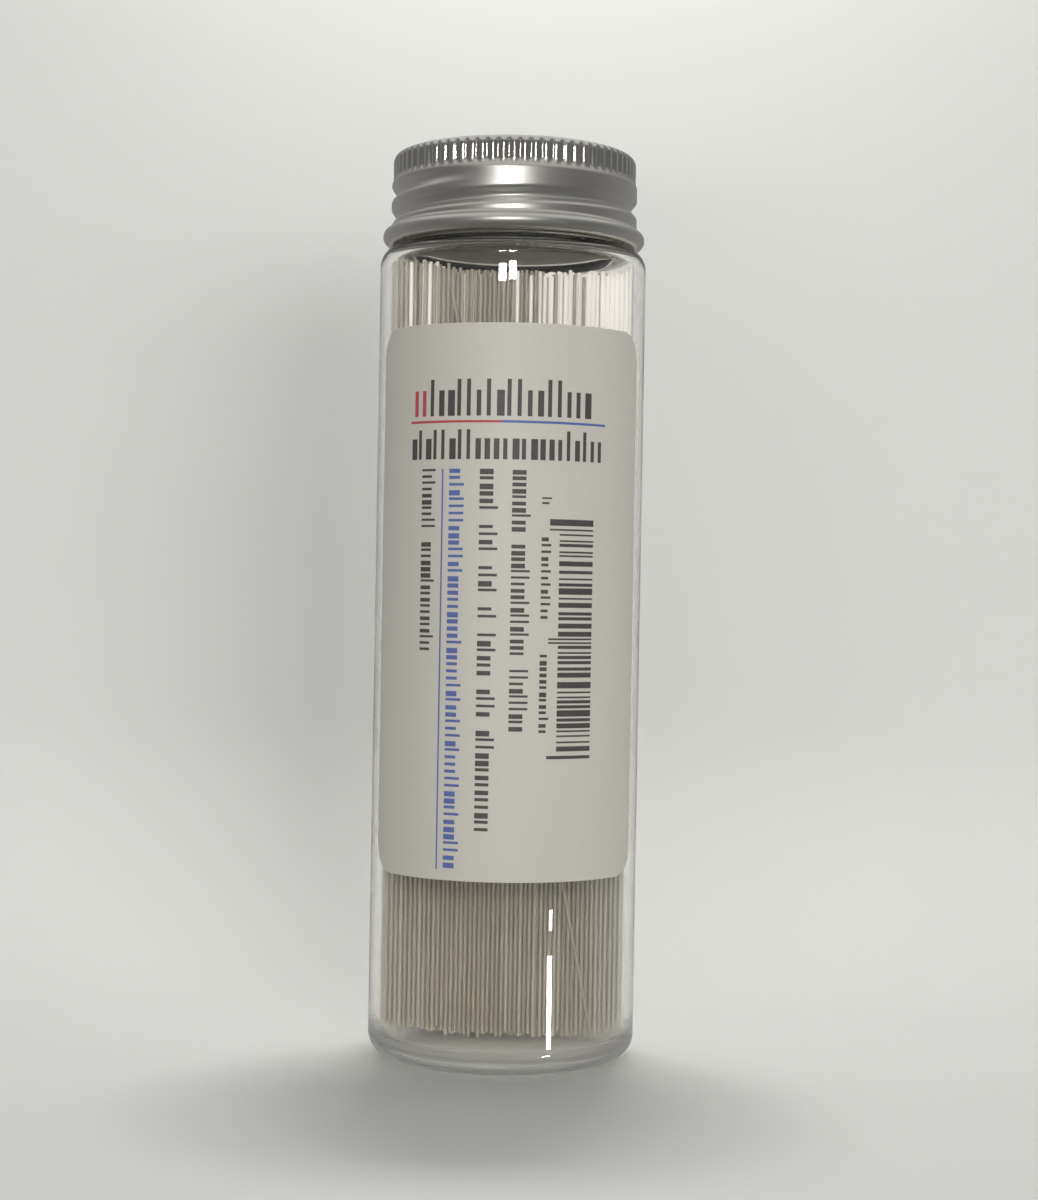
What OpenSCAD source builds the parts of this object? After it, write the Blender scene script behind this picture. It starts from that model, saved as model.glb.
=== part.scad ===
// Screw-capped glass vial holding a loose bundle of glass capillary tubes.
// The vial stands on its base ring: Z runs up its axis, the label faces -Y.
// All sizes are in millimetres.

/* [Capillary tubes] */
// Length of one capillary tube
tube_l = 100; // [40:1:150]
// Outer diameter of one capillary tube
tube_od = 0.5; // [0.4:0.05:2]
// Bore of one capillary tube
tube_id = 0.3; // [0.1:0.05:1.5]
// Most tubes that the bundle holds
tube_count = 1499; // [20:1:1600]
// Distance between neighbouring tubes, centre to centre
tube_pitch = 0.6; // [0.58:0.01:2.5]
// Most that a tube stands off the vial's floor
tube_stagger = 1.0; // [0:0.1:3]
// Most that the tubes on the left ride up above the others
left_rise = 1.6; // [0:0.1:3]
// Least gap between a tube and the vial's floor, wall or shoulder
tube_gap = 0.12; // [0.05:0.01:0.3]
// How far the bundle's front dips between its two sides
bundle_dip = 1.5; // [0:0.1:1.8]
// How far the loose tube's ends lean out to each side, as a share of the bore's radius
loose_reach = 0.61; // [0:0.01:0.7]
// Sideways place of the loose tube at half its length
loose_x = 2; // [-4:0.5:4]

/* [Vial] */
// Outer diameter of the vial
vial_d = 35; // [24:0.5:60]
// Thickness of the vial's side wall
wall_t = 1.3; // [0.8:0.1:2.5]
// Height of the vial's floor above what it stands on
base_t = 2; // [1.5:0.1:6]
// Height of the hollow under the base
punt_h = 0.6; // [0.2:0.1:1]
// Width of the ring that the vial stands on
foot_w = 2; // [1:0.1:4]
// Radius of the outer edge at the base
heel_r = 2.7; // [1:0.1:4]
// Radius of the outer edge at the shoulder
shoulder_r = 2.6; // [1:0.1:4]
// Free height between the tubes' nominal tops and the top of the shoulder
headroom = 3.9; // [3.5:0.1:20]

/* [Neck] */
// Step from the vial's side in to the neck
neck_step = 2.9; // [2.7:0.1:6]
// Height of the neck above the shoulder
neck_h = 10.85; // [9.8:0.05:14]
// Thickness of the neck's wall
neck_t = 1.4; // [0.8:0.1:2.5]
// Height of the glass thread's ridge
thread_h = 0.9; // [0.4:0.05:1.2]
// Rise of the thread in one turn
thread_pitch = 3; // [2.6:0.1:3.6]
// Height of the cap's groove above the shoulder, at +X
thread_z = 5.3; // [5:0.1:5.8]

/* [Cap] */
// Thickness of the cap's aluminium sheet
sheet_t = 0.25; // [0.15:0.01:0.4]
// Gap between the glass thread's crest and the cap's wall
crest_gap = 0.45; // [0.3:0.05:0.8]
// Depth of the groove rolled into the cap
groove_depth = 0.75; // [0.4:0.05:0.85]
// Step in from the threaded skirt to the knurled band
band_step = 0.2; // [0.1:0.05:0.4]
// Radius of the cap's top edge
cap_edge_r = 1; // [0.5:0.1:1.5]
// Number of flutes round the knurled band
flute_count = 72; // [36:1:80]
// Depth of one flute
flute_depth = 0.35; // [0.15:0.05:0.4]
// Radius of one flute's rounded bottom
flute_r = 0.45; // [0.3:0.05:0.5]
// Length of the flutes along the cap's axis
flute_l = 2.9; // [2:0.1:3.5]
// Radius of the curled bead's section
bead_r = 1.05; // [0.7:0.05:1.2]
// Gap between the cap's lower edge and the level of the shoulder
skirt_gap = 0.25; // [0.2:0.05:1]

/* [Liner] */
// Thickness of the liner that seals the mouth
liner_t = 1; // [0.5:0.1:2]
// Gap between the liner's edge and the flutes' inner ridges
liner_gap = 0.5; // [0.2:0.1:1]

/* [Label] */
// Height of the label
label_h = 69.6; // [30:0.2:90]
// Width of the label along the curve
label_w = 41.2; // [20:0.2:60]
// Height of the label's lower edge above the standing surface
label_z = 24.6; // [8:0.2:30]
// Thickness of the label's paper
label_t = 0.1; // [0.06:0.01:0.3]
// Thickness of the adhesive between the label and the glass
adhesive_t = 0.03; // [0.02:0.01:0.1]
// Radius of the label's corners
label_corner_r = 3.8; // [1:0.1:8]

/* [Hidden] */
$fn = 96;

vial_r = vial_d / 2;
bore_r = vial_r - wall_t;
shoulder_z = base_t + tube_l + headroom;
neck_r = vial_r - neck_step;
neck_bore_r = neck_r - neck_t;
mouth_z = shoulder_z + neck_h;
lip_r = 0.45;
floor_edge_r = 1.8;
shoulder_edge_r = 1.4;

crest_r = neck_r + thread_h;
skirt_r = crest_r + crest_gap + sheet_t;
band_r = skirt_r - band_step;
cap_top_z = mouth_z + liner_t + sheet_t;
cap_foot_z = shoulder_z + skirt_gap;
band_step_z = shoulder_z + 8.3;
groove_stop = 0.8;
flute_centre_r = band_r + flute_r - flute_depth;
flute_drop = 0.3;
flute_top_z = cap_top_z - flute_drop;
liner_r = band_r - flute_depth - sheet_t - liner_gap;
bead_slit = 0.12;

// The groove starts just above the bead and stops just below the band step
groove_z = shoulder_z + thread_z;
groove_w = 2.1;
groove_floor_w = 0.5;
groove_from = (cap_foot_z + 2 * bead_r + groove_w / 2 - groove_z) / thread_pitch * 360;
groove_to = (band_step_z - groove_stop - groove_z) / thread_pitch * 360;
ridge_from = -360;
ridge_to = 120;
ridge_w = 1.3;
ridge_crest_w = 0.5;
fade_deg = 55;
least_fade = 0.1;
thread_step = 10;
overlap = 0.3;
spare = 1;

label_in_r = vial_r + adhesive_t;

// Points on an arc about a centre, from one angle to another
function arc(centre, r, from, to, steps = 12) =
    [for (i = [0:steps]) centre + r * [cos(from + (to - from) * i / steps),
                                       sin(from + (to - from) * i / steps)]];

// A thread's share of its full depth: least_fade at its ends, rising smoothly to 1
function fade(a, from, to) = let(t = min(1, (a - from) / fade_deg, (to - a) / fade_deg))
    max(least_fade, t * t * (3 - 2 * t));

// A helical ridge or groove of trapezium section. at_z is its height at angle 0, base_r its
// wide side, and depth reaches from there to its narrow side.
module helix(at_z, from, to, base_r, depth, base_w, tip_w) {
    turns = round((to - from) / thread_step);
    angles = [for (i = [0:turns]) from + (to - from) * i / turns];
    points = [for (a = angles)
        let(tip_r = base_r + depth * fade(a, from, to), z = at_z + thread_pitch * a / 360)
        for (s = [[base_r, -base_w / 2], [tip_r, -tip_w / 2], [tip_r, tip_w / 2], [base_r, base_w / 2]])
            [s.x * cos(a), s.x * sin(a), z + s.y]];
    inward = depth < 0;
    sides = [for (i = [0:turns - 1], k = [0:3])
        let(p = 4 * i + k, q = 4 * i + (k + 1) % 4)
        inward ? [p, p + 4, q + 4, q] : [p, q, q + 4, p + 4]];
    ends = inward ? [[0, 1, 2, 3], [for (k = [3:-1:0]) 4 * turns + k]]
                  : [[3, 2, 1, 0], [for (k = [0:3]) 4 * turns + k]];
    polyhedron(points, concat(sides, ends), convexity = 8);
}

// ---------- glass vial ----------

module vial_outline() {
    polygon(concat(
        [[0, punt_h], [vial_r - heel_r - foot_w - 1, punt_h], [vial_r - heel_r - foot_w, 0]],
        arc([vial_r - heel_r, heel_r], heel_r, -90, 0),
        arc([vial_r - shoulder_r, shoulder_z - shoulder_r], shoulder_r, 0, 90),
        [[neck_r, shoulder_z]],
        arc([neck_r - lip_r, mouth_z - lip_r], lip_r, 0, 90, 6),
        arc([neck_bore_r + lip_r, mouth_z - lip_r], lip_r, 90, 180, 6),
        [[neck_bore_r, shoulder_z - wall_t]],
        arc([bore_r - shoulder_edge_r, shoulder_z - wall_t - shoulder_edge_r], shoulder_edge_r, 90, 0, 8),
        arc([bore_r - floor_edge_r, base_t + floor_edge_r], floor_edge_r, 0, -90, 8),
        [[0, base_t]]));
}

module glass_vial() {
    color([0.78, 0.82, 0.8, 0.4]) {
        rotate_extrude() vial_outline();
        helix(groove_z + thread_pitch / 2, ridge_from, ridge_to,
              neck_r - overlap, thread_h + overlap, ridge_w, ridge_crest_w);
    }
}

// ---------- cap ----------

// Half section of the cap's sheet, drawn at offset 0 for its outside and sheet_t for its inside
module cap_outline(inset) {
    edge = cap_edge_r - inset;
    foot_z = cap_foot_z - (inset > 0 ? spare : 0);
    polygon(concat(
        [[0, foot_z], [skirt_r - inset, foot_z],
         [skirt_r - inset, band_step_z], [band_r - inset, band_step_z + band_step]],
        arc([band_r - cap_edge_r, cap_top_z - cap_edge_r], edge, 0, 90, 8),
        [[0, cap_top_z - inset]]));
}

// The curl at the foot: a half ring of sheet outside the skirt, open by a slit at its top
module bead_outline() {
    centre = [skirt_r, cap_foot_z + bead_r];
    difference() {
        translate(centre) circle(bead_r);
        translate(centre) circle(bead_r - sheet_t);
        translate([0, cap_foot_z - spare]) square([skirt_r - sheet_t / 2, 2 * bead_r + 2 * spare]);
        translate([skirt_r - sheet_t, centre.y]) square([sheet_t + bead_slit, 2 * bead_r]);
    }
}

module flutes(r) {
    for (i = [0:flute_count - 1])
        rotate([0, 0, (i + 0.5) * 360 / flute_count])
            translate([flute_centre_r, 0, flute_top_z - flute_l])
                cylinder(r = r, h = flute_l);
}

module flute_ridges() {
    intersection() {
        flutes(flute_r + sheet_t);
        translate([0, 0, flute_top_z - flute_l])
            cylinder(r = band_r - sheet_t / 2, h = flute_l - cap_edge_r + sheet_t);
    }
}

module screw_cap() {
    color([0.8, 0.8, 0.79])
    difference() {
        union() {
            rotate_extrude() difference() {
                cap_outline(0);
                cap_outline(sheet_t);
            }
            rotate_extrude() bead_outline();
            flute_ridges();
            helix(groove_z, groove_from, groove_to,
                  skirt_r - sheet_t / 2, -groove_depth - sheet_t / 2,
                  groove_w + sheet_t, groove_floor_w + 2 * sheet_t);
        }
        helix(groove_z, groove_from, groove_to,
              skirt_r + overlap, -groove_depth - overlap,
              groove_w * (1 + overlap / groove_depth), groove_floor_w);
        flutes(flute_r);
    }
}

module cap_liner() {
    color([0.93, 0.93, 0.9]) translate([0, 0, mouth_z]) cylinder(r = liner_r, h = liner_t);
}

// ---------- label ----------

// The label's outline before it is wrapped, with round corners, and where a point of it lies
// once it is wrapped and seen square on
flat_x = label_w / 2 - label_corner_r;
flat_low = label_z + label_corner_r;
flat_high = label_z + label_h - label_corner_r;
label_points = concat(arc([flat_x, flat_low], label_corner_r, -90, 0),
                      arc([flat_x, flat_high], label_corner_r, 0, 90),
                      arc([-flat_x, flat_high], label_corner_r, 90, 180),
                      arc([-flat_x, flat_low], label_corner_r, 180, 270));
function wrapped(p) = [label_in_r * sin(p.x / label_in_r * 180 / PI), p.y];

module label() {
    color([0.95, 0.95, 0.93])
    intersection() {
        translate([0, 0, label_z - spare]) rotate([0, 0, 180]) rotate_extrude(angle = 180)
            translate([label_in_r, 0]) square([label_t, label_h + 2 * spare]);
        rotate([90, 0, 0]) linear_extrude(vial_d) polygon([for (p = label_points) wrapped(p)]);
    }
}

// ---------- capillary tubes ----------

// Places for the tubes: staggered rows from the rear wall forwards, each bowed so that the
// bundle's front dips in the middle. They leave the loose tube its room in front of them.
row_step = tube_pitch * sin(60);
shake = (tube_pitch - tube_od) / 5;
reach_r = bore_r - tube_od / 2 - tube_gap - 2 * shake;
row_count = ceil(2 * reach_r / row_step);
half_row = ceil(reach_r / tube_pitch);
lattice = [for (j = [0:row_count], i = [-half_row:half_row])
    let(x = (i + (j % 2) / 2) * tube_pitch)
    [x, reach_r - j * row_step - bundle_dip * pow(x / bore_r, 2)]];
loose_off = 1.5 * tube_od;
loose_side = abs(loose_x) + loose_reach * bore_r;
loose_front = -sqrt(reach_r * reach_r - loose_side * loose_side);
bundle_front_y = loose_front + shake + loose_off;
free_spots = [for (s = lattice) if (norm(s) < reach_r && s.y > bundle_front_y) s];
bundle_size = min(tube_count, len(free_spots));
shake_x = rands(-shake, shake, bundle_size, 11);
shake_y = rands(-shake, shake, bundle_size, 12);
lift = rands(0, tube_stagger, bundle_size, 13);
rise = rands(0.3, 1, bundle_size, 14);
front_y = min([for (i = [0:bundle_size - 1]) free_spots[i].y]);

// How far a rounded edge of radius edge_r curves in from the vial's floor or shoulder at radius r
function edge_rise(r, edge_r) = let(out = max(0, r - bore_r + edge_r))
    edge_r - sqrt(edge_r * edge_r - out * out);

// Lowest and highest place of the foot of a tube whose far side, with its gap, is at radius r
function lowest_foot(r) = base_t + edge_rise(r, floor_edge_r) + tube_gap;
function highest_foot(r) =
    shoulder_z - wall_t - edge_rise(r, shoulder_edge_r) - tube_gap - tube_l;

function left_share(x) = let(t = min(1, max(0, -x / bore_r * 1.6 - 0.4))) t * t * (3 - 2 * t);

module tube(z) {
    translate([0, 0, z]) linear_extrude(tube_l) difference() {
        circle(d = tube_od, $fn = 24);
        circle(d = tube_id, $fn = 24);
    }
}

// One third of the bundle: part 0 is the rear, 2 the front
module bundle(part) {
    color([0.86, 0.88, 0.86])
    for (i = [floor(bundle_size * part / 3) : floor(bundle_size * (part + 1) / 3) - 1])
        let(spot = free_spots[i] + [shake_x[i], shake_y[i]],
            r = norm(spot) + tube_od / 2 + tube_gap,
            ride_up = lift[i] + left_rise * rise[i] * left_share(spot.x))
            translate(spot) tube(min(lowest_foot(r) + ride_up, highest_foot(r)));
}

module bundle_rear() { bundle(0); }
module bundle_middle() { bundle(1); }
module bundle_front() { bundle(2); }

// One tube leans across the front of the bundle, its lower end on the vial's floor
module loose_capillary() {
    lean = asin(2 * loose_reach * bore_r / tube_l);
    foot_z = base_t + tube_gap + tube_od / 2 * sin(lean);
    color([0.86, 0.88, 0.86])
    translate([loose_x, front_y - shake - loose_off, foot_z + tube_l / 2 * cos(lean)])
        rotate([0, -lean, 0]) tube(-tube_l / 2);
}

glass_vial();
screw_cap();
cap_liner();
label();
bundle_rear();
bundle_middle();
bundle_front();
loose_capillary();
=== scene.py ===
# Looks of a screw-capped glass vial that holds a bundle of glass capillary tubes.
import bmesh
import bpy
import math
import random
from mathutils import Matrix, Vector


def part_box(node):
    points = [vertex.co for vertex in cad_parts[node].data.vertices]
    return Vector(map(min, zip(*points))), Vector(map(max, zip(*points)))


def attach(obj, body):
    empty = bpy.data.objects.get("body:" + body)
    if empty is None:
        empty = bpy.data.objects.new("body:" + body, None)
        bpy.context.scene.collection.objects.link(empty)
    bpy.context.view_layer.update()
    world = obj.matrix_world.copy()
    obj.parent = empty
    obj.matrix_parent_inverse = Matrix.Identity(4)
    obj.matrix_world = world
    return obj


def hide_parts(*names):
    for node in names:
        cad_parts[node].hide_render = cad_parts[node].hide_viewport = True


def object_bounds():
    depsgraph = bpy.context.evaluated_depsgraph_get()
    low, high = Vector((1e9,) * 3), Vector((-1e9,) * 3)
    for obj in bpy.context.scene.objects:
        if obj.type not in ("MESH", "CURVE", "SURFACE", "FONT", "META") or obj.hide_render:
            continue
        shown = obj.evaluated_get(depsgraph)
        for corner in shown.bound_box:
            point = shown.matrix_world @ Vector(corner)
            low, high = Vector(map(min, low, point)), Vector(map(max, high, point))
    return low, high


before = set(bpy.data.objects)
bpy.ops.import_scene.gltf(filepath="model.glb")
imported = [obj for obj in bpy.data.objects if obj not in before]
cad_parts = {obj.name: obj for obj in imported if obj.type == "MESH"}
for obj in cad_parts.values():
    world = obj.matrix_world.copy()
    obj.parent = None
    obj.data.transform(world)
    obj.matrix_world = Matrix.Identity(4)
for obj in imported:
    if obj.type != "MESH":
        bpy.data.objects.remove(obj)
cad_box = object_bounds()

MM = 0.001
TAU = 2 * math.pi


# ---------- sizes, from the frame ----------

vial_low, vial_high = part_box("glass_vial")
cap_low, cap_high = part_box("screw_cap")
liner_low, liner_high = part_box("cap_liner")
label_low, label_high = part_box("label")

VIAL_R = vial_high.x
MOUTH_Z = vial_high.z
CAP_TOP = cap_high.z
CAP_FOOT = cap_low.z
BEAD_EDGE = cap_high.x
LABEL_R = -label_low.y


# ---------- materials ----------

def linear(colour):
    """An sRGB hex value as a linear colour."""
    parts = [int(colour[i:i + 2], 16) / 255 for i in (1, 3, 5)]
    return tuple(c / 12.92 if c <= 0.04045 else ((c + 0.055) / 1.055) ** 2.4 for c in parts) + (1,)


def add(tree, kind, inputs=None, **settings):
    """Adds a node, sets its properties, and fills its inputs with values or links."""
    node = tree.nodes.new(kind)
    for name, value in settings.items():
        setattr(node, name, value)
    for name, value in (inputs or {}).items():
        socket = node.inputs[name]
        if isinstance(value, bpy.types.NodeSocket):
            tree.links.new(value, socket)
        else:
            socket.default_value = value
    return node


def new_material(name):
    """An empty node material and its output node."""
    material = bpy.data.materials.new(name)
    material.use_nodes = True
    material.node_tree.nodes.clear()
    output = add(material.node_tree, "ShaderNodeOutputMaterial")
    return material, material.node_tree, output


def around_axis(tree):
    """Sockets for the angle round the vial's axis, in turns, and the height, in millimetres."""
    place = add(tree, "ShaderNodeTexCoord").outputs["Object"]
    split = add(tree, "ShaderNodeSeparateXYZ", {0: place})
    angle = add(tree, "ShaderNodeMath", {0: split.outputs["Y"], 1: split.outputs["X"]}, operation="ARCTAN2")
    turns = add(tree, "ShaderNodeMath", {0: angle.outputs[0], 1: 1 / TAU}, operation="MULTIPLY")
    height = add(tree, "ShaderNodeMath", {0: split.outputs["Z"], 1: 1 / MM}, operation="MULTIPLY")
    return turns.outputs[0], height.outputs[0]


def soda_lime_glass():
    """Soda-lime container glass, moulded: clear, with a surface that waves a little from the
    mould, so reflections waver, and a base that is dulled and rippled where it was closed.
    Lamps shine through it."""
    material, tree, output = new_material("soda_lime_glass")
    place = add(tree, "ShaderNodeTexCoord").outputs["Object"]
    height = add(tree, "ShaderNodeSeparateXYZ", {0: place}).outputs["Z"]
    wave_mm = 9
    ripple_mm = 1.5
    waves = add(tree, "ShaderNodeTexNoise", {"Vector": place, "Scale": 1 / (wave_mm * MM), "Detail": 1.0})
    ripples = add(tree, "ShaderNodeTexNoise", {"Vector": place, "Scale": 1 / (ripple_mm * MM), "Detail": 2.0})
    base = add(tree, "ShaderNodeMapRange", {
        "Value": height, "From Min": 7 * MM, "From Max": 2 * MM}, interpolation_type="SMOOTHSTEP")
    rough = add(tree, "ShaderNodeMapRange", {"Value": base.outputs["Result"], "To Min": 0.005, "To Max": 0.34})
    clear = add(tree, "ShaderNodeMapRange", {"Value": base.outputs["Result"], "To Min": 1.0, "To Max": 0.9})
    low = add(tree, "ShaderNodeMath", {0: ripples.outputs["Fac"], 1: base.outputs["Result"]},
              operation="MULTIPLY")
    dents = add(tree, "ShaderNodeMath", {0: low.outputs[0], 1: 0.8, 2: waves.outputs["Fac"]},
                operation="MULTIPLY_ADD")
    bump = add(tree, "ShaderNodeBump", {"Height": dents.outputs[0], "Strength": 0.25, "Distance": 0.00006})
    glass = add(tree, "ShaderNodeBsdfPrincipled", {
        "Base Color": linear("#fbfaf8"), "Roughness": rough.outputs["Result"], "IOR": 1.52,
        "Transmission Weight": clear.outputs["Result"], "Normal": bump.outputs[0],
        "Coat Weight": base.outputs["Result"], "Coat Roughness": 0.02, "Coat IOR": 1.52})
    through = add(tree, "ShaderNodeBsdfTransparent", {"Color": linear("#fafaf7")})
    shadow = add(tree, "ShaderNodeLightPath").outputs["Is Shadow Ray"]
    mix = add(tree, "ShaderNodeMixShader", {0: shadow, 1: glass.outputs[0], 2: through.outputs[0]})
    tree.links.new(mix.outputs[0], output.inputs["Surface"])
    return material


def drawn_glass():
    """Borosilicate glass drawn into fine tube, with a sharp gloss line. Packed together the tubes
    hide what lies behind them. Their colour holds painted light and shade: a painted shade on
    each tube's rims, a painted warm grey shade on dim tubes, and a painted light share stored on
    each tube that lifts it to white and makes it glow, most near the tubes' tops."""
    material, tree, output = new_material("drawn_glass")
    place = add(tree, "ShaderNodeTexCoord").outputs["Object"]
    height = add(tree, "ShaderNodeSeparateXYZ", {0: place}).outputs["Z"]
    streak_mm = 0.9
    squash = add(tree, "ShaderNodeVectorMath", {0: place, 1: (1, 1, 0.02)}, operation="MULTIPLY")
    streak = add(tree, "ShaderNodeTexNoise", {
        "Vector": squash.outputs[0], "Scale": 1 / (streak_mm * MM), "Detail": 2.0})
    # painted light: each tube's painted light share, stored on it
    painted_light_attr = add(tree, "ShaderNodeAttribute", attribute_name="tube_painted_light")
    # painted light and shade: the light share shows fully near the tubes' tops and fades to a painted shade lower
    # down
    free = add(tree, "ShaderNodeMapRange", {
        "Value": height, "From Min": 30 * MM, "From Max": 92 * MM, "To Min": 0.16},
        interpolation_type="SMOOTHSTEP")
    shown = add(tree, "ShaderNodeMath", {0: painted_light_attr.outputs["Fac"], 1: free.outputs["Result"]},
                operation="MULTIPLY")
    both = add(tree, "ShaderNodeMath", {0: streak.outputs["Fac"], 1: 0.3, 2: shown.outputs[0]},
               operation="MULTIPLY_ADD")
    # painted glow: the painted light is also given off as emission, though the tubes are no lamp
    painted_glow = add(tree, "ShaderNodeMapRange", {
        "Value": both.outputs[0], "From Min": 0.6, "From Max": 1.3, "To Min": 0.0, "To Max": 0.24})
    # colour ramp from a painted warm grey shade for dim tubes to a painted lit white
    tone = add(tree, "ShaderNodeValToRGB", {"Fac": both.outputs[0]})
    tone.color_ramp.elements[0].position = 0.1
    tone.color_ramp.elements[0].color = linear("#b8afa1")
    tone.color_ramp.elements[1].position = 0.9
    tone.color_ramp.elements[1].color = linear("#ffffff")
    facing = add(tree, "ShaderNodeLayerWeight", {"Blend": 0.35}).outputs["Facing"]
    # painted shade: each tube darkens to a warm grey towards its rims
    painted_rim_shade_share = add(tree, "ShaderNodeMath", {0: facing, 1: 0.65}, operation="MULTIPLY")
    painted_rim_shade = add(tree, "ShaderNodeMix", {
        "Factor": painted_rim_shade_share.outputs[0], "A": tone.outputs["Color"], "B": linear("#8f877a")}, data_type="RGBA")
    # the tube's painted colour, shade and light included, glows as emission
    wall = add(tree, "ShaderNodeBsdfPrincipled", {
        "Base Color": painted_rim_shade.outputs["Result"], "Roughness": 0.08, "IOR": 1.47,
        "Specular IOR Level": 1.0, "Emission Color": painted_rim_shade.outputs["Result"],
        "Emission Strength": painted_glow.outputs["Result"]})
    clear = add(tree, "ShaderNodeBsdfTransparent", {"Color": linear("#fbf9f6")})
    solid = add(tree, "ShaderNodeMapRange", {"Value": facing, "To Min": 0.6, "To Max": 0.85})
    mix = add(tree, "ShaderNodeMixShader", {
        0: solid.outputs["Result"], 1: clear.outputs[0], 2: wall.outputs[0]})
    tree.links.new(mix.outputs[0], output.inputs["Surface"])
    return material


def satin_aluminium():
    """Drawn aluminium sheet with a satin lacquer: soft broad highlights, and fine lines round
    the cap that the rolling leaves."""
    material, tree, output = new_material("satin_aluminium")
    turns, height = around_axis(tree)
    line_mm = 0.12
    across = add(tree, "ShaderNodeMath", {0: height, 1: 1 / line_mm}, operation="MULTIPLY")
    along = add(tree, "ShaderNodeMath", {0: turns, 1: 9.0}, operation="MULTIPLY")
    where = add(tree, "ShaderNodeCombineXYZ", {"X": along.outputs[0], "Y": across.outputs[0]})
    lines = add(tree, "ShaderNodeTexNoise", {"Vector": where.outputs[0], "Scale": 1.0, "Detail": 2.0})
    skirt = add(tree, "ShaderNodeMapRange", {
        "Value": height, "From Min": (CAP_TOP - 2.6 * MM) / MM, "From Max": (CAP_TOP - 3.4 * MM) / MM})
    least = add(tree, "ShaderNodeMapRange", {"Value": skirt.outputs["Result"], "To Min": 0.1, "To Max": 0.32})
    rough = add(tree, "ShaderNodeMath", {0: lines.outputs["Fac"], 1: 0.14, 2: least.outputs["Result"]},
                operation="MULTIPLY_ADD")
    grain = add(tree, "ShaderNodeMath", {0: lines.outputs["Fac"], 1: skirt.outputs["Result"]},
                operation="MULTIPLY")
    bump = add(tree, "ShaderNodeBump", {
        "Height": grain.outputs[0], "Strength": 0.3, "Distance": 0.000006})
    tone = add(tree, "ShaderNodeMix", {
        "Factor": lines.outputs["Fac"], "A": linear("#c9c8c4"), "B": linear("#dddcd8")}, data_type="RGBA")
    metal = add(tree, "ShaderNodeBsdfPrincipled", {
        "Base Color": tone.outputs["Result"], "Metallic": 1.0,
        "Roughness": rough.outputs[0], "Normal": bump.outputs[0]})
    tree.links.new(metal.outputs[0], output.inputs["Surface"])
    return material


def lacquered_aluminium():
    """The same sheet inside the cap, under a dull clear lacquer that scatters light."""
    material, tree, output = new_material("lacquered_aluminium")
    place = add(tree, "ShaderNodeTexCoord").outputs["Object"]
    mottle_mm = 0.6
    mottle = add(tree, "ShaderNodeTexNoise", {"Vector": place, "Scale": 1 / (mottle_mm * MM), "Detail": 2.0})
    tone = add(tree, "ShaderNodeMix", {
        "Factor": mottle.outputs["Fac"], "A": linear("#dcd9d0"), "B": linear("#e6e3db")}, data_type="RGBA")
    metal = add(tree, "ShaderNodeBsdfPrincipled", {
        "Base Color": tone.outputs["Result"], "Metallic": 0.1, "Roughness": 0.6})
    tree.links.new(metal.outputs[0], output.inputs["Surface"])
    return material


def foamed_polyethylene():
    """Expanded polyethylene sheet, die-cut: matte off-white with small closed cells."""
    material, tree, output = new_material("foamed_polyethylene")
    place = add(tree, "ShaderNodeTexCoord").outputs["Object"]
    cell_mm = 0.5
    cells = add(tree, "ShaderNodeTexVoronoi", {"Vector": place, "Scale": 1 / (cell_mm * MM)})
    bump = add(tree, "ShaderNodeBump", {"Height": cells.outputs["Distance"], "Strength": 0.4, "Distance": 0.00008})
    foam = add(tree, "ShaderNodeBsdfPrincipled", {
        "Base Color": linear("#eeeee8"), "Roughness": 0.75, "Normal": bump.outputs[0]})
    tree.links.new(foam.outputs[0], output.inputs["Surface"])
    return material


def label_paper():
    """Coated label paper with a satin face: even off-white, with a faint fibre mottle."""
    material, tree, output = new_material("coated_label_paper")
    place = add(tree, "ShaderNodeTexCoord").outputs["Object"]
    fibre_mm = 0.35
    fibres = add(tree, "ShaderNodeTexNoise", {"Vector": place, "Scale": 1 / (fibre_mm * MM), "Detail": 3.0})
    tone = add(tree, "ShaderNodeMix", {
        "Factor": fibres.outputs["Fac"], "A": linear("#cfccc5"), "B": linear("#d6d3cc")}, data_type="RGBA")
    bump = add(tree, "ShaderNodeBump", {"Height": fibres.outputs["Fac"], "Strength": 0.12, "Distance": 0.00001})
    paper = add(tree, "ShaderNodeBsdfPrincipled", {
        "Base Color": tone.outputs["Result"], "Roughness": 0.48, "Normal": bump.outputs[0]})
    tree.links.new(paper.outputs[0], output.inputs["Surface"])
    return material


def printing_ink(name, colour):
    """Printing ink on the label: flat colour with the speckle of a desktop printer."""
    material, tree, output = new_material(name)
    place = add(tree, "ShaderNodeTexCoord").outputs["Object"]
    dot_mm = 0.12
    dots = add(tree, "ShaderNodeTexNoise", {"Vector": place, "Scale": 1 / (dot_mm * MM), "Detail": 1.0})
    pale = tuple(0.8 * c + 0.2 * 0.55 for c in linear(colour)[:3]) + (1,)
    tone = add(tree, "ShaderNodeMix", {
        "Factor": dots.outputs["Fac"], "A": linear(colour), "B": pale}, data_type="RGBA")
    ink = add(tree, "ShaderNodeBsdfPrincipled", {"Base Color": tone.outputs["Result"], "Roughness": 0.5})
    tree.links.new(ink.outputs[0], output.inputs["Surface"])
    return material


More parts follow.
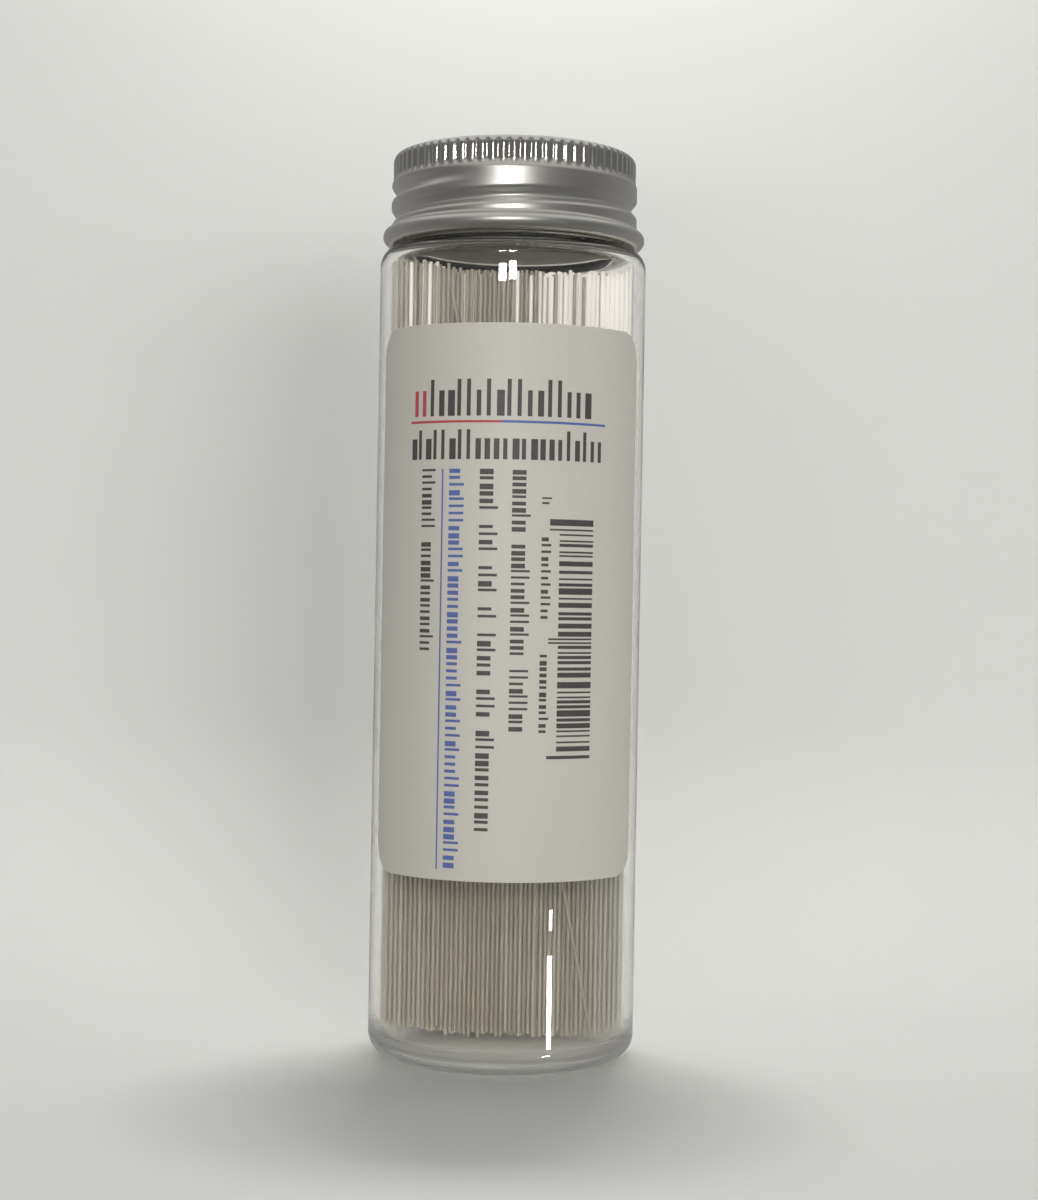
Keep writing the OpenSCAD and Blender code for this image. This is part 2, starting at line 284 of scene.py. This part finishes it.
def painted_backdrop():
    """Matte pale card for the floor and the wall behind. Its back is clear, so that a view from
    behind looks through it."""
    material, tree, output = new_material("pale_backdrop")
    place = add(tree, "ShaderNodeTexCoord").outputs["Object"]
    cloud = add(tree, "ShaderNodeTexNoise", {"Vector": place, "Scale": 4.0, "Detail": 1.0})
    tone = add(tree, "ShaderNodeMix", {
        "Factor": cloud.outputs["Fac"], "A": linear("#ecedec"), "B": linear("#f0f1f0")}, data_type="RGBA")
    card = add(tree, "ShaderNodeBsdfPrincipled", {"Base Color": tone.outputs["Result"], "Roughness": 0.85})
    clear = add(tree, "ShaderNodeBsdfTransparent")
    behind = add(tree, "ShaderNodeNewGeometry").outputs["Backfacing"]
    mix = add(tree, "ShaderNodeMixShader", {0: behind, 1: card.outputs[0], 2: clear.outputs[0]})
    tree.links.new(mix.outputs[0], output.inputs["Surface"])
    return material


# ---------- mesh helpers ----------

def arc(centre, r, start, end, steps):
    """Points (radius, height) on an arc, by its start and end angle in degrees."""
    angles = [math.radians(start + (end - start) * i / steps) for i in range(steps + 1)]
    return [(centre[0] + r * math.cos(a), centre[1] + r * math.sin(a)) for a in angles]


def line(start, end, longest):
    """Points on a straight line, none further apart than longest, without its start."""
    length = math.dist(start, end)
    steps = max(1, math.ceil(length / longest))
    return [(start[0] + (end[0] - start[0]) * i / steps, start[1] + (end[1] - start[1]) * i / steps)
            for i in range(1, steps + 1)]


def spun(outline, steps):
    """A bmesh of an outline of (radius, height) points in metres, spun round the Z axis."""
    bm = bmesh.new()
    verts = [bm.verts.new((r, 0, z)) for r, z in outline]
    edges = [bm.edges.new(pair) for pair in zip(verts, verts[1:])]
    bmesh.ops.spin(bm, geom=verts + edges, axis=(0, 0, 1), cent=(0, 0, 0),
                   steps=steps, angle=TAU, use_merge=True)
    bmesh.ops.remove_doubles(bm, verts=bm.verts, dist=0.000002)
    bmesh.ops.recalc_face_normals(bm, faces=bm.faces)
    return bm


def piece(name, bm, material, body, replaces=(), smooth=True):
    """Makes an object of a bmesh, gives it its material, and ties it to its body."""
    mesh = bpy.data.meshes.new(name)
    for face in bm.faces:
        face.smooth = smooth
    bm.to_mesh(mesh)
    bm.free()
    obj = bpy.data.objects.new(name, mesh)
    bpy.context.scene.collection.objects.link(obj)
    for one in (material if isinstance(material, list) else [material]):
        mesh.materials.append(one)
    if body:
        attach(obj, body)
    if replaces:
        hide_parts(*replaces)
    return obj


# ---------- screw thread ----------

PITCH = 3 * MM
SHOULDER_Z = MOUTH_Z - 10.85 * MM
GROOVE_Z = SHOULDER_Z + 5.3 * MM


def helix_share(angle, z, at_z, start, end, half_width, fade):
    """How deep a helical thread is at an angle and height: 1 in its middle, 0 off it.
    at_z is its height at angle 0, and it runs from start to end, in turns."""
    share = 0
    turn = angle / TAU
    for whole in range(-2, 3):
        t = turn + whole
        if start < t < end:
            off = abs(z - at_z - PITCH * t) / half_width
            if off < 1:
                ends = min(1, (t - start) / fade, (end - t) / fade)
                smooth = ends * ends * (3 - 2 * ends)
                share = max(share, smooth * (0.5 + 0.5 * math.cos(math.pi * off)))
    return share


# ---------- glass vial ----------

def make_vial(glass):
    wall = 1.3 * MM
    floor_z = 2 * MM
    heel = 2.7 * MM
    shoulder = 2.6 * MM
    punt = 0.6 * MM
    foot = 2 * MM
    neck_r = VIAL_R - 2.9 * MM
    neck_in = neck_r - 1.4 * MM
    bore = VIAL_R - wall
    lip = 0.45 * MM
    inner_floor = 1.8 * MM
    inner_shoulder = 1.4 * MM
    neck_step = 0.4 * MM
    foot_in = VIAL_R - heel - foot
    hold = 0.25 * MM
    outline = [(0, punt), (foot_in - 4 * MM, punt), (foot_in - 2.5 * MM, 0.9 * punt)]
    outline += [(foot_in - 1 * MM, 0.35 * punt), (foot_in, 0), (foot_in + hold, 0)]
    outline += [(VIAL_R - heel - hold, 0)]
    outline += arc((VIAL_R - heel, heel), heel, -90, 0, 14)
    outline += [(VIAL_R, heel + hold), (VIAL_R, SHOULDER_Z - shoulder - hold)]
    outline += arc((VIAL_R - shoulder, SHOULDER_Z - shoulder), shoulder, 0, 84, 14)
    outline += arc((neck_r + hold, SHOULDER_Z + hold), hold, -90, -180, 4)
    outline += line(outline[-1], (neck_r, MOUTH_Z - lip), neck_step)
    outline += arc((neck_r - lip, MOUTH_Z - lip), lip, 0, 90, 5)
    outline += arc((neck_in + lip, MOUTH_Z - lip), lip, 90, 180, 5)
    outline += [(neck_in, MOUTH_Z - lip - hold), (neck_in, SHOULDER_Z + hold)]
    outline += arc((neck_in + 0.9 * MM, SHOULDER_Z - 0.4 * MM), 0.9 * MM, 180, 270, 6)
    outline += arc((bore - inner_shoulder, SHOULDER_Z - wall - inner_shoulder), inner_shoulder, 90, 0, 8)
    outline += [(bore, SHOULDER_Z - wall - inner_shoulder - hold), (bore, floor_z + inner_floor + hold)]
    outline += arc((bore - inner_floor, floor_z + inner_floor), inner_floor, 0, -90, 8)
    outline += [(bore - inner_floor - hold, floor_z), (0, floor_z)]
    bm = spun(outline, 160)
    thread_h = 0.9 * MM
    for v in bm.verts:
        r = math.hypot(v.co.x, v.co.y)
        if v.co.z > SHOULDER_Z + 0.3 * MM and abs(r - neck_r) < 0.01 * MM:
            share = helix_share(math.atan2(v.co.y, v.co.x), v.co.z, GROOVE_Z + PITCH / 2,
                                -1.0, 0.34, 0.85 * MM, 0.15)
            v.co.xy *= (r + thread_h * share) / r
    return piece("vial_glass_body", bm, glass, "vial", ["glass_vial"])


# ---------- screw cap ----------

def make_cap(metals):
    sheet = 0.24 * MM
    skirt_r = BEAD_EDGE - 1.05 * MM
    band_r = skirt_r - 0.2 * MM
    edge = 1 * MM
    bead = 1.05 * MM
    bead_z = CAP_FOOT + bead
    band_z = SHOULDER_Z + 8.3 * MM
    row = 0.16 * MM
    flutes = 72
    per_flute = 6
    flute_depth = 0.35 * MM
    flute_top = CAP_TOP - 0.55 * MM
    flute_foot = CAP_TOP - 3.1 * MM

    outer = [(0, CAP_TOP), (band_r * 0.5, CAP_TOP), (band_r - edge - 0.8 * MM, CAP_TOP)]
    outer += arc((band_r - edge, CAP_TOP - edge), edge, 90, 0, 8)
    outer += line(outer[-1], (band_r, band_z + 0.3 * MM), 0.25 * MM)
    outer += line(outer[-1], (skirt_r, band_z - 0.2 * MM), 0.2 * MM)
    outer += line(outer[-1], (skirt_r, CAP_FOOT + 2 * bead + 0.3 * MM), row)
    curl = arc((skirt_r, bead_z), bead, 74, -90, 16)
    inner_curl = line(curl[-1], (skirt_r - sheet, CAP_FOOT), 0.2 * MM)
    inner = line(inner_curl[-1], (skirt_r - sheet, band_z - 0.2 * MM), row)
    inner += line(inner[-1], (band_r - sheet, band_z + 0.3 * MM), 0.2 * MM)
    inner += line(inner[-1], (band_r - sheet, CAP_TOP - edge), 0.25 * MM)
    inner += arc((band_r - edge, CAP_TOP - edge), edge - sheet, 0, 90, 6)[1:]
    inner += [(0, CAP_TOP - sheet)]
    bm = spun(outer + curl + inner_curl + inner, flutes * per_flute)

    groove = 0.75 * MM
    for v in bm.verts:
        r = math.hypot(v.co.x, v.co.y)
        if r < band_r - edge:
            continue
        angle = math.atan2(v.co.y, v.co.x)
        z = v.co.z
        push = 0
        if z > CAP_FOOT + 2 * bead:
            push += groove * helix_share(angle, z, GROOVE_Z, -0.633, 0.733, 1.25 * MM, 0.16)
        if z > flute_foot - 0.4 * MM:
            rise = min(1, max(0, (z - flute_foot + 0.4 * MM) / (0.4 * MM)),
                       max(0, (flute_top + 0.35 * MM - z) / (0.35 * MM)))
            wave = 0.5 - 0.5 * math.cos(angle * flutes)
            push += flute_depth * rise * wave ** 2.4
        v.co.xy *= (r - push) / r
    bm.normal_update()
    for face in bm.faces:
        middle = face.calc_center_median()
        inward = face.normal.xy.dot(middle.xy) < 0 or face.normal.z < -0.99
        face.material_index = 1 if inward and middle.xy.length < skirt_r - 0.5 * sheet else 0
    return piece("cap_shell", bm, metals, "cap", ["screw_cap"])


# ---------- label and its print ----------

PAPER_R = LABEL_R - 0.03 * MM
PAPER_BACK_R = LABEL_R - 0.1 * MM
LABEL_W = 41.2 * MM
LABEL_CORNER = 3.8 * MM


def wrap(bm, r):
    """Bends a flat sheet, drawn with x to the right and y up, round the vial's front."""
    for v in bm.verts:
        angle = v.co.x / LABEL_R
        radius = r + v.co.z
        v.co = Vector((radius * math.sin(angle), -radius * math.cos(angle), v.co.y))


def cut_for_bending(bm, half_width, step):
    """Cuts a flat sheet into narrow upright strips, so that it can bend."""
    x = -half_width + step
    while x < half_width:
        bmesh.ops.bisect_plane(bm, geom=bm.verts[:] + bm.edges[:] + bm.faces[:],
                               plane_co=(x, 0, 0), plane_no=(1, 0, 0), dist=1e-7)
        x += step


def make_label(paper):
    bm = bmesh.new()
    half = LABEL_W / 2
    low, high = label_low.z, label_high.z
    c = LABEL_CORNER
    corners = [((half - c, low + c), -90), ((half - c, high - c), 0),
               ((-half + c, high - c), 90), ((-half + c, low + c), 180)]
    ring = [p for centre, start in corners for p in arc(centre, c, start, start + 90, 10)]
    bm.faces.new([bm.verts.new((x, y, 0)) for x, y in ring])
    cut_for_bending(bm, half, 0.6 * MM)
    bmesh.ops.solidify(bm, geom=bm.faces[:], thickness=PAPER_R - PAPER_BACK_R)
    thick = max(v.co.z for v in bm.verts)
    for v in bm.verts:
        v.co.z -= thick
    wrap(bm, PAPER_R)
    bmesh.ops.recalc_face_normals(bm, faces=bm.faces)
    return piece("label_sheet", bm, paper, "vial", ["label"], smooth=False)


INK_LIFT = 0.02 * MM


def bar(bm, left, right, low, high, ink):
    """Adds one printed bar, in millimetres from the label's middle line and the floor."""
    steps = max(1, math.ceil((right - left) / 0.8))
    for i in range(steps):
        a = left + (right - left) * i / steps
        b = left + (right - left) * (i + 1) / steps
        quad = [bm.verts.new((x * MM, y * MM, 0)) for x, y in ((a, low), (b, low), (b, high), (a, high))]
        bm.faces.new(quad).material_index = ink


def column(bm, rng, left, right, top, foot, words, ink):
    """Adds a line of plain blocks and strokes that reads down the label, broken into words."""
    gap = 1.4
    span = (top - foot - gap * (len(words) - 1)) / sum(words)
    wide = right - left
    y = top
    for marks in words:
        for _ in range(marks):
            tall = rng.random() < 0.3
            stroke = span * (0.36 if tall else rng.choice((0.42, 0.6, 0.74)))
            bar(bm, left + 0.16 * wide, right if tall else left + 0.78 * wide, y - stroke, y, ink)
            y -= span
        y -= gap


def heading(bm, rng, left, right, low, high, marks, inks):
    """Adds a row of larger blocks and strokes across the label, the first few in another ink."""
    span = (right - left) / marks
    for i in range(marks):
        x = left + i * span
        tall = rng.random() < 0.25
        wide = span * (0.4 if tall else rng.choice((0.45, 0.6, 0.75)))
        bar(bm, x, x + wide, low, high if tall else low + 0.7 * (high - low), inks[0] if i < 2 else inks[1])


def make_print(inks):
    rng = random.Random(7)
    bm = bmesh.new()
    black, blue, red = 0, 1, 2
    heading(bm, rng, -13.2, 11.2, 82.6, 87.2, 19, (red, black))
    bar(bm, -13.9, -1.0, 81.75, 82.05, red)
    bar(bm, -1.0, 13.2, 81.75, 82.05, blue)
    heading(bm, rng, -13.6, 13.2, 77.2, 80.9, 23, (black, black))
    column(bm, rng, 0.0, 2.8, 75.9, 43.2, (10, 18, 10), black)
    column(bm, rng, -4.1, -1.3, 76.0, 30.4, (6, 4, 4, 2, 6, 4, 14), black)
    column(bm, rng, -8.1, -5.7, 76.0, 25.9, (56,), blue)
    bar(bm, -8.75, -8.55, 25.9, 76.0, blue)
    column(bm, rng, -12.2, -9.7, 76.0, 52.8, (10, 18), black)
    y = 69.9
    count = 0
    while y > 40.3:
        width = rng.choice((0.22, 0.22, 0.4, 0.4, 0.62, 0.8))
        guard = count < 2 or y < 41.2 or 54.4 < y < 55.6
        bar(bm, 5.3 if guard else 6.6, 11.5, y - width, y, black)
        y -= width + rng.choice((0.22, 0.25, 0.4, 0.55))
        count += 1
    column(bm, rng, 4.0, 5.5, 72.6, 71.4, (2,), black)
    column(bm, rng, 4.0, 5.5, 67.6, 57.0, (13,), black)
    column(bm, rng, 4.0, 5.5, 53.0, 42.8, (13,), black)
    wrap(bm, PAPER_R + INK_LIFT)
    return piece("label_print", bm, inks, "vial", smooth=False)


# ---------- capillary tubes ----------

TUBE_R = 0.25 * MM
TUBE_BORE_R = 0.15 * MM
TUBE_SIDES = 10


def tube_mesh(length):
    """One open-ended tube with its foot at the origin, as a mesh."""
    bm = bmesh.new()
    outer = bmesh.ops.create_circle(bm, segments=TUBE_SIDES, radius=TUBE_R)["verts"]
    inner = bmesh.ops.create_circle(bm, segments=TUBE_SIDES, radius=TUBE_BORE_R)["verts"]
    bmesh.ops.bridge_loops(bm, edges=bm.edges[:])
    grown = bmesh.ops.extrude_face_region(bm, geom=bm.faces[:])["geom"]
    bmesh.ops.translate(bm, vec=(0, 0, length), verts=[g for g in grown if isinstance(g, bmesh.types.BMVert)])
    bmesh.ops.recalc_face_normals(bm, faces=bm.faces)
    for face in bm.faces:
        face.smooth = abs(face.normal.z) < 0.5
    for edge in bm.edges:
        if len(edge.link_faces) == 2 and edge.calc_face_angle(0) > math.radians(60):
            edge.smooth = False
    mesh = bpy.data.meshes.new("one_tube")
    bm.to_mesh(mesh)
    bm.free()
    return mesh


def tube_places(node):
    """Foot and length of every tube in a CAD node, from the separate shells of its mesh."""
    bm = bmesh.new()
    bm.from_mesh(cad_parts[node].data)
    bmesh.ops.remove_doubles(bm, verts=bm.verts, dist=0.000004)
    left = set(bm.verts)
    places = []
    while left:
        first = left.pop()
        shell, edge_of = [first], [first]
        while edge_of:
            v = edge_of.pop()
            for e in v.link_edges:
                other = e.other_vert(v)
                if other in left:
                    left.remove(other)
                    shell.append(other)
                    edge_of.append(other)
        low = min(v.co.z for v in shell)
        high = max(v.co.z for v in shell)
        foot = [v.co for v in shell if v.co.z < low + 0.4 * (high - low)]
        head = [v.co for v in shell if v.co.z > high - 0.4 * (high - low)]
        places.append((sum(foot, Vector()) / len(foot), sum(head, Vector()) / len(head)))
    bm.free()
    return places


def make_tubes(name, node, glass, rng):
    """The tubes of a CAD node. Each carries a painted light share: a few are painted lit, many
    more of those that stand in the clear row on the right, and the rest are painted dim."""
    bm = bmesh.new()
    painted_light_shares = []
    for foot, head in tube_places(node):
        along = head - foot
        mesh = tube_mesh(along.length)
        turn = Vector((0, 0, 1)).rotation_difference(along.normalized()).to_matrix().to_4x4()
        mesh.transform(Matrix.Translation(foot) @ turn)
        bm.from_mesh(mesh)
        # painted light: the chance of a tube being painted lit is highest on the right, then on the left
        bright = 0.8 if foot.x > 3.5 * MM else 0.25 if foot.x < -8.5 * MM else 0.12
        tone = rng.uniform(0.85, 1.3) if rng.random() < bright else rng.uniform(0.0, 0.3)
        # painted light: the rightmost tubes are painted brighter still
        if foot.x > 12 * MM:
            tone *= 1.5
        painted_light_shares += [tone] * len(mesh.polygons)
        bpy.data.meshes.remove(mesh)
    smooth = [face.smooth for face in bm.faces]
    obj = piece(name, bm, glass, "vial", [node])
    obj.data.polygons.foreach_set("use_smooth", smooth)
    obj.data.attributes.new("tube_painted_light", "FLOAT", "FACE").data.foreach_set("value", painted_light_shares)
    return obj


# ---------- stage, lights and camera ----------

def make_backdrop(card):
    """A floor that sweeps up into a wall close behind the vial, as one sheet."""
    half = 1.5
    floor_z = -0.0002
    sweep = 0.04
    wall_y = 0.065
    side = [(-1.6, floor_z)] + [(wall_y - sweep + x, z) for x, z in arc((0, floor_z + sweep), sweep, -90, 0, 16)]
    side += [(wall_y, 0.9)]
    bm = bmesh.new()
    verts = [bm.verts.new((-half, y, z)) for y, z in side]
    edges = [bm.edges.new(pair) for pair in zip(verts, verts[1:])]
    grown = bmesh.ops.extrude_edge_only(bm, edges=edges)["geom"]
    bmesh.ops.translate(bm, vec=(2 * half, 0, 0), verts=[g for g in grown if isinstance(g, bmesh.types.BMVert)])
    bmesh.ops.recalc_face_normals(bm, faces=bm.faces)
    if bm.faces[:][0].normal.z < 0:
        bmesh.ops.reverse_faces(bm, faces=bm.faces[:])
    wall = piece("backdrop", bm, card, None)
    wall.visible_glossy = False
    return wall


def area_light(name, place, target, width, height, watts, colour="#ffffff"):
    """A soft rectangular light that the camera doesn't see."""
    data = bpy.data.lights.new(name, "AREA")
    data.shape = "RECTANGLE"
    data.size = width
    data.size_y = height
    data.energy = watts
    data.color = linear(colour)[:3]
    obj = bpy.data.objects.new(name, data)
    obj.location = place
    obj.rotation_euler = (Vector(target) - Vector(place)).to_track_quat("-Z", "Y").to_euler()
    obj.visible_camera = False
    bpy.context.scene.collection.objects.link(obj)
    return obj


def make_lights():
    """Two pairs of lamps near the camera and a low window to the right, which show in the glass
    and the metal, and two soft fills that don't."""
    middle = (0, 0, 0.06)
    for x in (-0.12, 0.0):
        for z in (0.219, 0.236):
            lamp = area_light("lamp", (x, -0.80, z), middle, 0.085, 0.011, 0.4, "#fffdf8")
            lamp.visible_diffuse = x == 0.0
    for x, z, wide, high, watts in ((0.396, -0.104, 0.045, 0.038, 0.24), (0.375, -0.134, 0.085, 0.02, 0.24),
                                    (0.40, -0.072, 0.03, 0.008, 0.03)):
        window = area_light("low_window", (x, -0.451, z), (0, 0, 0.01), wide, high, watts, "#fffefa")
        window.visible_diffuse = False
    low = area_light("fill_low", (-0.12, -0.55, 0.05), (0, 0, 0.10), 0.4, 0.06, 0.3, "#fffefa")
    key = area_light("key_right", (0.42, -0.90, 0.20), middle, 0.5, 0.3, 2.7, "#fffefa")
    fill = area_light("fill_left", (-0.65, -0.75, 0.22), middle, 0.6, 0.3, 0.36, "#fffefa")
    top = area_light("top_rear", (0.004, 0.045, 0.27), (0.0, -0.05, 0.0), 0.05, 0.02, 0.29, "#fffefa")
    for light in (key, fill, low, top):
        light.visible_glossy = False
        light.visible_transmission = False


def make_room():
    """The room round the stage: pale where it is looked at or seen through the glass, dim with a
    bright ceiling where a shiny surface mirrors it."""
    world = bpy.data.worlds.new("pale_room")
    world.use_nodes = True
    tree = world.node_tree
    tree.nodes.clear()
    output = add(tree, "ShaderNodeOutputWorld")
    way = add(tree, "ShaderNodeSeparateXYZ", {0: add(tree, "ShaderNodeTexCoord").outputs["Generated"]})
    ceiling = add(tree, "ShaderNodeMapRange", {
        "Value": way.outputs["Z"], "From Min": 0.45, "From Max": 0.8, "To Min": 0.0, "To Max": 0.55},
        interpolation_type="SMOOTHSTEP")
    rear = add(tree, "ShaderNodeMapRange", {
        "Value": way.outputs["Y"], "From Min": -0.3, "From Max": 0.9, "To Min": 0.17, "To Max": 0.36})
    mirrored = add(tree, "ShaderNodeMath", {0: ceiling.outputs["Result"], 1: rear.outputs["Result"]},
                   operation="ADD")
    path = add(tree, "ShaderNodeLightPath")
    seen = add(tree, "ShaderNodeMix", {"Factor": path.outputs["Is Glossy Ray"], "A": 0.75,
                                       "B": mirrored.outputs[0]})
    through = add(tree, "ShaderNodeMix", {"Factor": path.outputs["Is Transmission Ray"],
                                          "A": seen.outputs["Result"], "B": 0.5})
    strength = add(tree, "ShaderNodeMix", {"Factor": path.outputs["Is Diffuse Ray"],
                                           "A": through.outputs["Result"], "B": 0.1})
    room = add(tree, "ShaderNodeBackground", {"Color": linear("#f4f3f0"),
                                              "Strength": strength.outputs["Result"]})
    tree.links.new(room.outputs[0], output.inputs["Surface"])
    bpy.context.scene.world = world


def make_camera():
    """Looks level at the vial's front from close by, rolled a little, as the vial leans."""
    middle = (cad_box[0] + cad_box[1]) / 2
    data = bpy.data.cameras.new("camera")
    data.lens = 63.42
    data.clip_start = 0.01
    obj = bpy.data.objects.new("camera", data)
    eye = middle + Vector((1.5, -280, 2)) * MM
    down = math.radians(0.27)
    roll = math.radians(0.98)
    obj.matrix_world = (Matrix.Translation(eye) @ Matrix.Rotation(math.pi / 2 - down, 4, "X")
                        @ Matrix.Rotation(roll, 4, "Z"))
    bpy.context.scene.collection.objects.link(obj)
    bpy.context.scene.camera = obj


make_camera()
make_lights()
make_room()
make_backdrop(painted_backdrop())
bpy.context.scene.view_settings.view_transform = "Standard"

make_vial(soda_lime_glass())
make_cap([satin_aluminium(), lacquered_aluminium()])
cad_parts["cap_liner"].data.materials.clear()
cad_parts["cap_liner"].data.materials.append(foamed_polyethylene())
make_label(label_paper())
make_print([printing_ink("black_ink", "#2f2c2c"), printing_ink("blue_ink", "#4a62b0"),
            printing_ink("red_ink", "#c0323a")])
tube_glass = drawn_glass()
# draws the painted light shares of the tubes
painted_light_draws = random.Random(3)
for part in ("rear", "middle", "front"):
    make_tubes("tubes_" + part, "bundle_" + part, tube_glass, painted_light_draws)
make_tubes("tube_loose", "loose_capillary", tube_glass, painted_light_draws)
